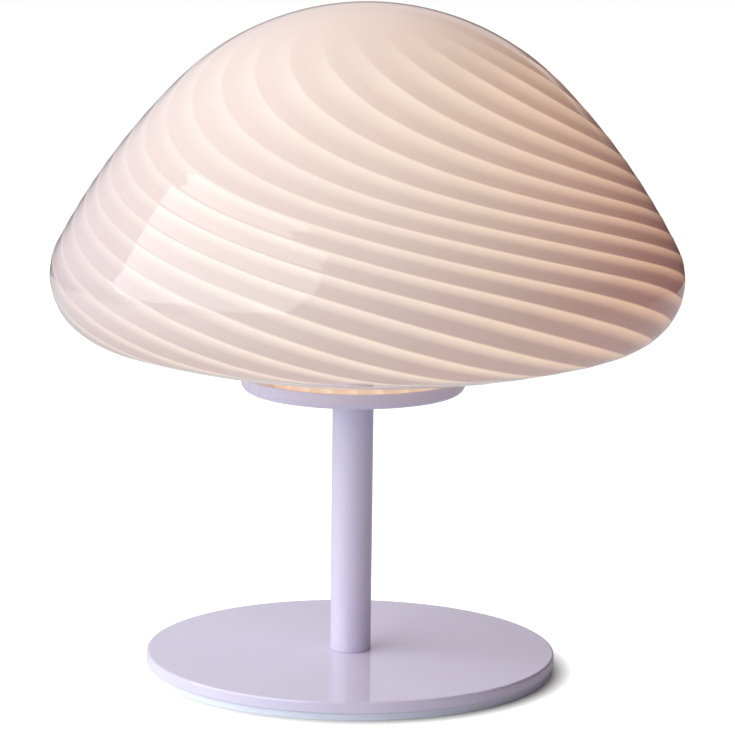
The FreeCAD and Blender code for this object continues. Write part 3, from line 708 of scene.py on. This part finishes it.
def ring_tree() -> bpy.types.NodeTree:
    """The rule of like units set in a ring round the lamp's axis, each turned to face it."""
    sizes = {"Count": "NodeSocketInt", "Radius": "NodeSocketFloat", "Height": "NodeSocketFloat"}
    rule = RuleTree("ring_of_units", sizes)
    graph, size = rule.graph, rule.size
    sockets = {"Vertices": size["Count"], "Radius": size["Radius"]}
    circle = graph.wire("GeometryNodeMeshCircle", sockets=sockets)
    angle = graph.wire("GeometryNodeInputIndex") / size["Count"] * TURN
    turned = graph.point(0.0, 0.0, angle)
    sockets = {"Points": circle, "Instance": size["Geometry"], "Rotation": turned}
    units = graph.wire("GeometryNodeInstanceOnPoints", sockets=sockets)
    lift = graph.point(0.0, 0.0, size["Height"])
    rule.finish(graph.wire("GeometryNodeTransform", sockets={"Geometry": units, "Translation": lift}))
    return rule.tree


def close_outwards(mesh: bpy.types.Mesh) -> None:
    """Turn a closed mesh's faces outwards."""
    shell = bmesh.new()
    shell.from_mesh(mesh)
    bmesh.ops.recalc_face_normals(shell, faces=shell.faces)
    shell.to_mesh(mesh)
    shell.free()


def run_rule(name: str, tree: bpy.types.NodeTree, source: bpy.types.Mesh, values: dict) -> bpy.types.Object:
    """Run a rule's tree and keep its result as a plain mesh.

    Args:
        name: the new piece's name.
        tree: the rule.
        source: the profile or unit that it works on.
        values: the tree's inputs, by name.

    Returns:
        The piece, linked to the scene.
    """
    holder = bpy.data.objects.new(name + "_source", source)
    bpy.context.collection.objects.link(holder)
    modifier = holder.modifiers.new("rule", "NODES")
    modifier.node_group = tree
    for item in tree.interface.items_tree:
        if item.in_out == "INPUT" and item.name in values:
            modifier[item.identifier] = values[item.name]
    graph = bpy.context.evaluated_depsgraph_get()
    result = holder.evaluated_get(graph)
    mesh = bpy.data.meshes.new_from_object(result, preserve_all_data_layers=True, depsgraph=graph)
    holder.modifiers.remove(modifier)
    bpy.data.objects.remove(holder)
    mesh.name = name
    close_outwards(mesh)
    piece = bpy.data.objects.new(name, mesh)
    bpy.context.collection.objects.link(piece)
    return piece


def place_piece(piece: bpy.types.Object, body: str, slot: str, *nodes: str) -> None:
    """Fix a finished piece to its body, in place of CAD nodes.

    Args:
        piece: the piece.
        body: the body that it moves with.
        slot: the record's material slot; not used.
        nodes: the CAD nodes that it stands for.
    """
    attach(piece, body)
    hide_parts(*nodes)
    triangles = sum(len(face.vertices) - 2 for face in piece.data.polygons)
    log.info("%s rides on %s, %d triangles", piece.name, body, triangles)


# ---------------------------------------------------------------- sub-assemblies
@dataclass
class Shade:
    """Blown glass shade: arcs from the crown to the cut neck, with stripes wound round it."""

    wall: float = 3.0 * MM
    crown: tuple[float, float] = (117.0 * MM, 45.1)
    flank: tuple[float, float] = (290.0 * MM, 17.3)
    rim: tuple[float, float] = (28.4 * MM, 101.4)
    belly_radius: float = 400.0 * MM
    neck_fillet: float = 4.0 * MM
    neck_radius: float = 41.4 * MM
    neck_length: float = 3.9 * MM
    edge_round: float = 0.8 * MM
    edge_steps: int = 4
    outer_step: float = 1.5 * MM
    inner_step: float = 6.0 * MM
    stripes: int = 23
    columns: int = 12
    crowding: float = 0.75
    relief: float = 0.14 * MM
    ridge: float = 0.82
    fall: float = 0.08
    offset: float = 0.10
    lopsided: float = 0.14
    fade_in: tuple[float, float] = (42.0 * MM, 84.0 * MM)
    fade_power: float = 1.3
    # Degrees that a stripe turns in each millimetre of profile, at these millimetres from the crown
    twist_rates: tuple[tuple[float, float], ...] = (
        (0, 0.30), (50, 0.332), (90, 0.723), (120, 1.099), (150, 1.651),
        (180, 1.532), (205, 1.319), (230, 1.051), (310, 0.6),
    )
    twist_start: float = -9.98
    # Share of a stripe's step that its slope takes, at these millimetres from the crown
    slope_widths: tuple[tuple[float, float], ...] = ((90, 0.60), (120, 0.53), (160, 0.46), (190, 0.43))

    def twist(self, length: float) -> float:
        """How far the stripes have turned at a distance from the crown.

        Args:
            length: the distance along the outer profile.

        Returns:
            The angle, in radians.
        """
        turned = self.twist_start
        for (start, rate), (end, next_rate) in zip(self.twist_rates, self.twist_rates[1:]):
            share = min(max((length / MM - start) / (end - start), 0.0), 1.0)
            turned += (end - start) * share * (rate + (next_rate - rate) * share / 2)
        return math.radians(turned)

    def weight(self, length: float) -> float:
        """How strong the stripes are at a distance from the crown, from 0 to 1."""
        start, full = self.fade_in
        return min(max((length - start) / (full - start), 0.0), 1.0) ** self.fade_power

    def slope_width(self, length: float) -> float:
        """The share of a stripe's step that its slope takes, at a distance from the crown."""
        at = length / MM
        for (start, width), (end, next_width) in zip(self.slope_widths, self.slope_widths[1:]):
            if at < end:
                return width + (next_width - width) * max((at - start) / (end - start), 0.0)
        return self.slope_widths[-1][1]

    def outer_arcs(self) -> list[Arc]:
        """The outer profile's arcs, from the crown to the fillet at the neck."""
        arcs = []
        lean, at = 0.0, Vector((0.0, 0.0))
        for radius, degrees in (self.crown, self.flank, self.rim):
            last = lean + math.radians(degrees)
            centre = at - Vector((math.sin(lean), math.cos(lean))) * radius
            arcs.append(Arc(*centre, radius, lean, last))
            at = centre + Vector((math.sin(last), math.cos(last))) * radius
            lean = last
        centre = at - Vector((math.sin(lean), math.cos(lean))) * self.belly_radius
        outside = self.belly_radius + self.neck_fillet
        last = math.pi - math.asin((self.neck_radius + self.neck_fillet - centre.x) / outside)
        arcs.append(Arc(*centre, self.belly_radius, lean, last))
        fillet = centre + Vector((math.sin(last), math.cos(last))) * outside
        arcs.append(Arc(*fillet, -self.neck_fillet, last, math.pi / 2))
        return arcs

    def station(self, arc: Arc, lean: float, length: float, inner: bool) -> Station:
        """The station at one lean of an arc, on the outside or on the inside of the wall.

        Args:
            arc: the arc of the outer profile.
            lean: the outer profile's lean.
            length: the distance along the outer profile.
            inner: whether the station is on the inside.

        Returns:
            The station.
        """
        reach = arc.radius - self.wall if inner else arc.radius
        radius = max(arc.centre + reach * math.sin(lean), 0.0)
        height = arc.height + reach * math.cos(lean)
        pattern = self.twist(length), self.weight(length), self.slope_width(length)
        return Station(radius, height, lean + math.pi if inner else lean, *pattern, float(inner))

    def stations(self, foot_z: float) -> list[Station]:
        """The whole half profile: down the outside, round the neck's edge and up the inside.

        Args:
            foot_z: the height of the neck's edge.

        Returns:
            The stations in order.
        """
        arcs = self.outer_arcs()
        outer: list[Station] = []
        inner: list[Station] = []
        length = 0.0
        for arc in arcs:
            turn = arc.last - arc.first
            run = abs(arc.radius * turn)
            for line, step, fewest in ((outer, self.outer_step, 4), (inner, self.inner_step, 2)):
                count = max(fewest, round(run / step))
                for number in range(1 if line else 0, count + 1):
                    lean = arc.first + turn * number / count
                    at_length = length + run * number / count
                    line.append(self.station(arc, lean, at_length, line is inner))
            length += run
        lift = foot_z + self.neck_length - arcs[-1].height
        for station in outer + inner:
            station.height += lift
        edge: list[Station] = []
        middle = self.neck_radius - self.wall / 2
        for side, base in ((1, math.pi / 2), (-1, math.pi)):
            round_centre = middle + side * (self.wall / 2 - self.edge_round)
            for number in range(self.edge_steps + 1):
                lean = base + math.pi / 2 * number / self.edge_steps
                radius = round_centre + self.edge_round * math.sin(lean)
                height = foot_z + self.edge_round * (1 + math.cos(lean))
                edge.append(Station(radius, height, lean, outer[-1].twist))
        return outer + edge + inner[::-1]

    def build(self, tree: bpy.types.NodeTree, finishes: dict[str, bpy.types.Material]) -> None:
        """Make the wound glass in place of the plain one."""
        low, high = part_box("glass_shade")
        source = profile_mesh("shade_profile", self.stations(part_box("glass_neck")[0].z))
        names = ("Stripes", "Columns", "Crowding", "Relief", "Ridge", "Fall", "Offset", "Lopsided")
        values = {name: getattr(self, name.lower()) for name in names}
        values |= {"Axis X": (low.x + high.x) / 2, "Material": finishes["swirl_glass"]}
        piece = run_rule("swirl_shade", tree, source, values)
        place_piece(piece, "shade", "swirl_glass", "glass_shade", "glass_belly", "glass_neck")


@dataclass
class RolledThread:
    """A sleeve of thin sheet with a round thread rolled into it."""

    radius: float
    sheet: float
    low: float
    high: float
    thread_low: float
    thread_high: float
    depth: float = 0.5 * MM
    pitch: float = 2.82 * MM
    fade: float = 1.2 * MM
    step: float = 0.22 * MM
    columns: int = 72

    def weight(self, height: float) -> float:
        """How deep the thread is at a height, from 0 to 1."""
        share = min(height - self.thread_low, self.thread_high - height) / self.fade
        share = min(max(share, 0.0), 1.0)
        return share * share * (3 - 2 * share)

    def stations(self) -> list[Station]:
        """The sheet's section: up the outside, over the edge and down the inside."""
        count = round((self.high - self.low) / self.step)
        heights = [self.low + (self.high - self.low) * number / count for number in range(count + 1)]
        outside = [Station(self.radius, height, weight=self.weight(height)) for height in heights]
        inside = [Station(self.radius - self.sheet, s.height, weight=s.weight) for s in reversed(outside)]
        return outside + inside + outside[:1]

    def build(self, name: str, tree: bpy.types.NodeTree, material: bpy.types.Material) -> bpy.types.Object:
        """Make the sleeve."""
        source = profile_mesh(name + "_profile", self.stations())
        values = {"Columns": self.columns, "Pitch": self.pitch, "Depth": self.depth, "Material": material}
        return run_rule(name, tree, source, values)


def add_block(shape: bmesh.types.BMesh, sides: tuple, centre: tuple, bevel: float) -> None:
    """Add a block with bevelled edges to an empty shape.

    Args:
        shape: the shape.
        sides: the block's three sides.
        centre: its middle.
        bevel: how far its edges are cut back.
    """
    place = Matrix.Translation(centre) @ Matrix.Diagonal((*sides, 1.0))
    bmesh.ops.create_cube(shape, size=1.0, matrix=place)
    edges = shape.edges[:]
    bmesh.ops.bevel(shape, geom=edges, offset=bevel, segments=2, affect="EDGES", profile=0.5)


@dataclass
class Holder:
    """Lamp holder, whose brass sleeve has a rolled thread and a tab down to its terminal."""

    sheet: float = 0.4 * MM
    tab_width: float = 2.0 * MM
    tab_height: float = 2.6 * MM
    tab_overlap: float = 0.4 * MM
    tab_round: float = 0.1 * MM
    thread_from_top: float = 0.8 * MM
    thread_length: float = 15.0 * MM
    thread_depth: float = 0.45 * MM

    def add_tab(self, mesh: bpy.types.Mesh, radius: float, foot: float) -> None:
        """Add the tab under the sleeve to its mesh.

        Args:
            mesh: the sleeve's mesh.
            radius: the sleeve's outer radius.
            foot: the height of the tab's lower end.
        """
        tab = bmesh.new()
        height = self.tab_height + self.tab_overlap
        sides = (self.sheet, self.tab_width, height)
        add_block(tab, sides, (radius - self.sheet / 2, 0, foot + height / 2), self.tab_round)
        tab.from_mesh(mesh)
        tab.to_mesh(mesh)
        tab.free()

    def build(self, tree: bpy.types.NodeTree, finishes: dict[str, bpy.types.Material]) -> None:
        """Make the threaded sleeve and its tab in place of the plain ones."""
        low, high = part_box("holder_thread_shell")
        thread_high = high.z - self.thread_from_top
        thread_low = thread_high - self.thread_length
        foot = low.z + self.tab_height
        depth = self.thread_depth
        sleeve = RolledThread(high.y, self.sheet, foot, high.z, thread_low, thread_high, depth)
        piece = sleeve.build("holder_thread_sleeve", tree, finishes["contact_brass"])
        self.add_tab(piece.data, high.y, low.z)
        place_piece(piece, "stand", "contact_brass", "holder_thread_shell")


@dataclass
class Bulb:
    """Screw-in bulb: rolled cap and light chips."""

    sheet: float = 0.35 * MM
    thread_from_foot: float = 0.6 * MM
    thread_length: float = 13.5 * MM
    chip_count: int = 8
    chip_side: float = 3.0 * MM
    chip_height: float = 0.8 * MM
    chip_ring: float = 11.0 * MM
    chip_bevel: float = 0.12 * MM
    window_radius: float = 1.15 * MM
    window_depth: float = 0.1 * MM
    window_steps: int = 20
    dome_height: float = 0.08 * MM
    dome_shoulder: tuple[float, float] = (0.7, 0.02 * MM)

    def chip_unit(self) -> bpy.types.Mesh:
        """One chip: a package with bevelled edges and a shallow domed window."""
        unit = bmesh.new()
        depth = self.chip_height - self.dome_height
        sides = (self.chip_side, self.chip_side, depth)
        add_block(unit, sides, (0, 0, depth / 2), self.chip_bevel)
        package = len(unit.verts)
        wide, sunk = self.window_radius, depth - self.window_depth
        share, dip = self.dome_shoulder
        turned = [(0.0, sunk), (wide, sunk), (wide, depth)]
        turned += [(wide * share, self.chip_height - dip), (0.0, self.chip_height)]
        line = [unit.verts.new((radius, 0.0, height)) for radius, height in turned]
        edges = [unit.edges.new(pair) for pair in zip(line, line[1:])]
        around = {"cent": (0, 0, 0), "axis": (0, 0, 1), "angle": TURN, "steps": self.window_steps}
        bmesh.ops.spin(unit, geom=line + edges, use_merge=True, **around)
        bmesh.ops.remove_doubles(unit, verts=unit.verts[package:], dist=1e-7)
        bmesh.ops.recalc_face_normals(unit, faces=unit.faces)
        mesh = bpy.data.meshes.new("chip_unit")
        unit.to_mesh(mesh)
        unit.free()
        layer = mesh.attributes.new("phosphor", "FLOAT", "POINT")
        layer.data.foreach_set("value", [float(number >= package) for number in range(len(mesh.vertices))])
        return mesh

    def build(
        self, thread: bpy.types.NodeTree, ring: bpy.types.NodeTree, finishes: dict[str, bpy.types.Material]
    ) -> None:
        """Make the rolled cap and the ring of chips in place of the plain ones."""
        low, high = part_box("bulb_screw_cap")
        start = low.z + self.thread_from_foot
        cap = RolledThread(high.x, self.sheet, low.z, high.z, start, start + self.thread_length)
        piece = cap.build("bulb_rolled_cap", thread, finishes["cap_nickel"])
        place_piece(piece, "bulb", "cap_nickel", "bulb_screw_cap")
        values = {
            "Count": self.chip_count,
            "Radius": self.chip_ring,
            "Height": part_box("bulb_led_chips")[0].z,
            "Material": finishes["chip_yellow"],
        }
        chips = run_rule("bulb_light_chips", ring, self.chip_unit(), values)
        place_piece(chips, "bulb", "chip_yellow", "bulb_led_chips")


def dress_nodes(finishes: dict[str, bpy.types.Material]) -> None:
    """Give every CAD node that stays the finish of its slot."""
    for name, node in frame["nodes"].items():
        for slot in node.material_slots:
            slot.material = finishes[slot.material.name.split(".")[0]]
        log.info("%s keeps its shape, finish %s", name, node.material_slots[0].material.name)


# ---------------------------------------------------------------- studio
@dataclass
class Softbox:
    """A large rectangular light that faces the lamp from a direction, seen only in reflections."""

    azimuth: float
    elevation: float
    roll: float
    distance: float
    across: tuple[float, float]
    upright: tuple[float, float]
    radiance: float
    colour: Colour
    target: tuple[float, float, float] = (0.0, 0.0, 0.2)

    def build(self, name: str) -> None:
        """Make the light."""
        azimuth, elevation, roll = (math.radians(a) for a in (self.azimuth, self.elevation, self.roll))
        level = math.cos(elevation)
        ahead = Vector((math.sin(azimuth) * level, -math.cos(azimuth) * level, math.sin(elevation)))
        side = Vector((0, 0, 1)).cross(ahead).normalized()
        up = ahead.cross(side)
        side, up = side * math.cos(roll) + up * math.sin(roll), up * math.cos(roll) - side * math.sin(roll)
        centre = Vector(self.target) + ahead * self.distance
        centre += side * sum(self.across) / 2 + up * sum(self.upright) / 2
        light = bpy.data.lights.new(name, "AREA")
        light.shape = "RECTANGLE"
        light.size = self.across[1] - self.across[0]
        light.size_y = self.upright[1] - self.upright[0]
        light.energy = self.radiance * math.pi * light.size * light.size_y
        light.color = self.colour
        lamp = bpy.data.objects.new(name, light)
        lamp.matrix_world = Matrix.Translation(centre) @ Matrix((side, up, ahead)).transposed().to_4x4()
        lamp.visible_camera = False
        bpy.context.collection.objects.link(lamp)


@dataclass
class Studio:
    """White room: floor, soft light from the left, and the camera where the photograph was taken.

    The room's light is given for the four sides, up to about 30 degrees, and for what is above
    that. The floor and the room show white, whatever light they give, but for a painted shadow on
    the floor close to what stands on it.
    """

    floor_radius: float = 1.2
    floor_hole_inset: float = 4 * MM
    floor_sides: int = 128
    floor_colour: Colour = (0.85, 0.85, 0.85)
    floor_cloud: float = 0.99
    floor_cloud_size: float = 0.4
    floor_white: float = 1.0
    floor_seen: Colour = (0.40, 0.40, 0.40)
    painted_shadow_reach: float = 0.010
    painted_shadow_lean: tuple[float, float, float] = (-0.58, 0.56, 0.59)
    painted_shadow_range: tuple[float, float] = (0.30, 0.98)
    left: Colour = (0.10, 0.10, 0.10)
    right: Colour = (0.02, 0.01, 0.03)
    front: Colour = (0.31, 0.28, 0.35)
    back: Colour = (0.05, 0.04, 0.06)
    above: Colour = (0.12, 0.12, 0.12)
    rear: Colour = (0.70, 0.70, 0.77)
    rear_way: tuple[float, float, float] = (-0.45, 0.62, 0.64)
    rear_spread: tuple[float, float] = (0.55, 0.90)
    above_rise: tuple[float, float] = (0.35, 0.6)
    backdrop: Colour = (0.62, 0.58, 0.65)
    backdrop_side: tuple[float, float] = (0.90, 0.955)
    backdrop_foot: tuple[float, float] = (0.09, 0.16)
    backdrop_top: tuple[float, float] = (0.32, 0.42)
    key_radiance: float = 3.45
    key_colour: Colour = (0.93, 1.0, 1.0)
    camera_place: tuple[float, float, float] = (0.0, -1.600, 0.4262)
    pitch: float = 0.1804
    yaw: float = 0.0038
    tilt: float = 0.0126
    focal_length: float = 3724.2335
    frame_size: float = 735.0
    sensor_width: float = 36.0

    def build_floor(self) -> None:
        """Make the floor: a white table with a painted shadow only close to what stands on it.

        It is open under the base, so that light reaches the pad's underside in views from below.
        """
        count = self.floor_sides
        ways = [(math.sin(TURN * number / count), math.cos(TURN * number / count)) for number in range(count)]
        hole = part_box("base_pad")[1].x - self.floor_hole_inset
        ring = [(x * radius, y * radius, 0.0) for radius in (hole, self.floor_radius) for x, y in ways]
        faces = [(i, (i + 1) % count, count + (i + 1) % count, count + i) for i in range(count)]
        mesh = bpy.data.meshes.new("floor")
        mesh.from_pydata(ring, [], faces)
        material, graph, shader, where = new_material("floor_white")
        grain = graph.noise(where, self.floor_cloud_size)
        dull = scaled(self.floor_colour, self.floor_cloud)
        pale = graph.mix(grain, dull, self.floor_colour)
        seen = graph.wire("ShaderNodeLightPath", output="Is Camera Ray")
        graph.feed(shader, "Base Color", graph.mix(seen, pale, self.floor_seen))
        # Painted shadow: the white that the camera sees is dimmed by ambient occlusion about a leaning
        # normal, so it is darkest next to the base and most to its front right.
        sockets = {"Distance": self.painted_shadow_reach, "Normal": graph.point(*self.painted_shadow_lean)}
        painted_shadow_openness = graph.wire("ShaderNodeAmbientOcclusion", {"samples": 16}, sockets, "AO")
        low, high = self.painted_shadow_range
        limits = {"Value": painted_shadow_openness, "From Min": low, "From Max": high}
        white = seen * graph.wire("ShaderNodeMapRange", sockets=limits) * self.floor_white
        graph.feed(shader, "Emission Color", graph.grey(white))
        graph.feed(shader, "Emission Strength", 1.0)
        graph.feed(shader, "Specular IOR Level", 0.0)
        graph.feed(shader, "Roughness", 1.0)
        under = graph.wire("ShaderNodeNewGeometry", output="Backfacing")
        empty = graph.wire("ShaderNodeBsdfTransparent")
        top = Wire(graph, shader.outputs["BSDF"])
        one_sided = graph.wire("ShaderNodeMixShader", sockets={0: under, 1: top, 2: empty})
        output = next(node for node in material.node_tree.nodes if node.type == "OUTPUT_MATERIAL")
        graph.feed(output, "Surface", one_sided)
        mesh.materials.append(material)
        floor = bpy.data.objects.new("floor", mesh)
        bpy.context.collection.objects.link(floor)

    def build_world(self) -> None:
        """Make the room's own light: white behind the lamp, and its own level on each side."""
        world = bpy.data.worlds.new("room")
        world.use_nodes = True
        world.node_tree.nodes.clear()
        graph = Graph(world.node_tree)
        ahead = graph.wire("ShaderNodeTexCoord", output="Object")
        x, y, z = graph.apart(ahead)
        across = x * x / (x * x + y * y + 1e-6)
        beside = graph.mix(x.maths("GREATER_THAN", 0.0), self.left, self.right)
        facing = graph.mix(y.maths("GREATER_THAN", 0.0), self.front, self.back)
        sides = graph.mix(across, facing, beside)
        sweep = graph.smooth(y, *self.backdrop_side) * graph.smooth(z, *self.backdrop_foot)
        sweep = sweep * (1 - graph.smooth(z, *self.backdrop_top))
        walls = graph.mix(sweep, sides, self.backdrop)
        room = graph.mix(graph.smooth(z, *self.above_rise), walls, self.above)
        towards = x * self.rear_way[0] + y * self.rear_way[1] + z * self.rear_way[2]
        room = graph.mix(graph.smooth(towards, *self.rear_spread), room, self.rear)
        seen = graph.wire("ShaderNodeLightPath", output="Is Camera Ray")
        colour = graph.mix(seen, room, (1.0, 1.0, 1.0))
        background = graph.node("ShaderNodeBackground", sockets={"Color": colour, "Strength": 1.0})
        output = graph.node("ShaderNodeOutputWorld")
        world.node_tree.links.new(background.outputs[0], output.inputs["Surface"])
        bpy.context.scene.world = world

    def build_camera(self) -> None:
        """Make the camera, with the photograph's place, direction, tilt and focal length."""
        level = math.cos(self.pitch)
        ahead = Vector((math.sin(self.yaw) * level, math.cos(self.yaw) * level, -math.sin(self.pitch)))
        right = Vector((math.cos(self.yaw), -math.sin(self.yaw), 0.0))
        up = right.cross(ahead)
        side = right * math.cos(self.tilt) + up * math.sin(self.tilt)
        top = up * math.cos(self.tilt) - right * math.sin(self.tilt)
        lens = bpy.data.cameras.new("camera")
        lens.sensor_width = self.sensor_width
        lens.lens = self.focal_length / self.frame_size * lens.sensor_width
        lens.clip_start, lens.clip_end = 0.05, 50.0
        camera = bpy.data.objects.new("camera", lens)
        turn = Matrix((side, top, -ahead)).transposed().to_4x4()
        camera.matrix_world = Matrix.Translation(self.camera_place) @ turn
        bpy.context.collection.objects.link(camera)
        bpy.context.scene.camera = camera

    def build(self) -> None:
        """Make the whole studio."""
        self.build_floor()
        self.build_world()
        self.build_camera()
        key = Softbox(
            azimuth=-53.9,
            elevation=19.1,
            roll=1.8,
            distance=1.5,
            across=(-1.578, 0.788),
            upright=(-0.453, 0.948),
            radiance=self.key_radiance,
            colour=self.key_colour,
        )
        key.build("key")
        view = bpy.context.scene.view_settings
        view.view_transform = "Standard"
        view.look = "None"
        view.exposure = 0.0
        view.gamma = 1.0
        log.info("studio ready")


def main() -> None:
    """Build the lamp and its studio."""
    logging.basicConfig(level=logging.INFO, format="%(message)s")
    finishes = make_finishes()
    dress_nodes(finishes)
    threads = thread_tree()
    Shade().build(wound_tree(), finishes)
    Holder().build(threads, finishes)
    Bulb().build(threads, ring_tree(), finishes)
    Studio().build()


if __name__ == "__main__":
    main()
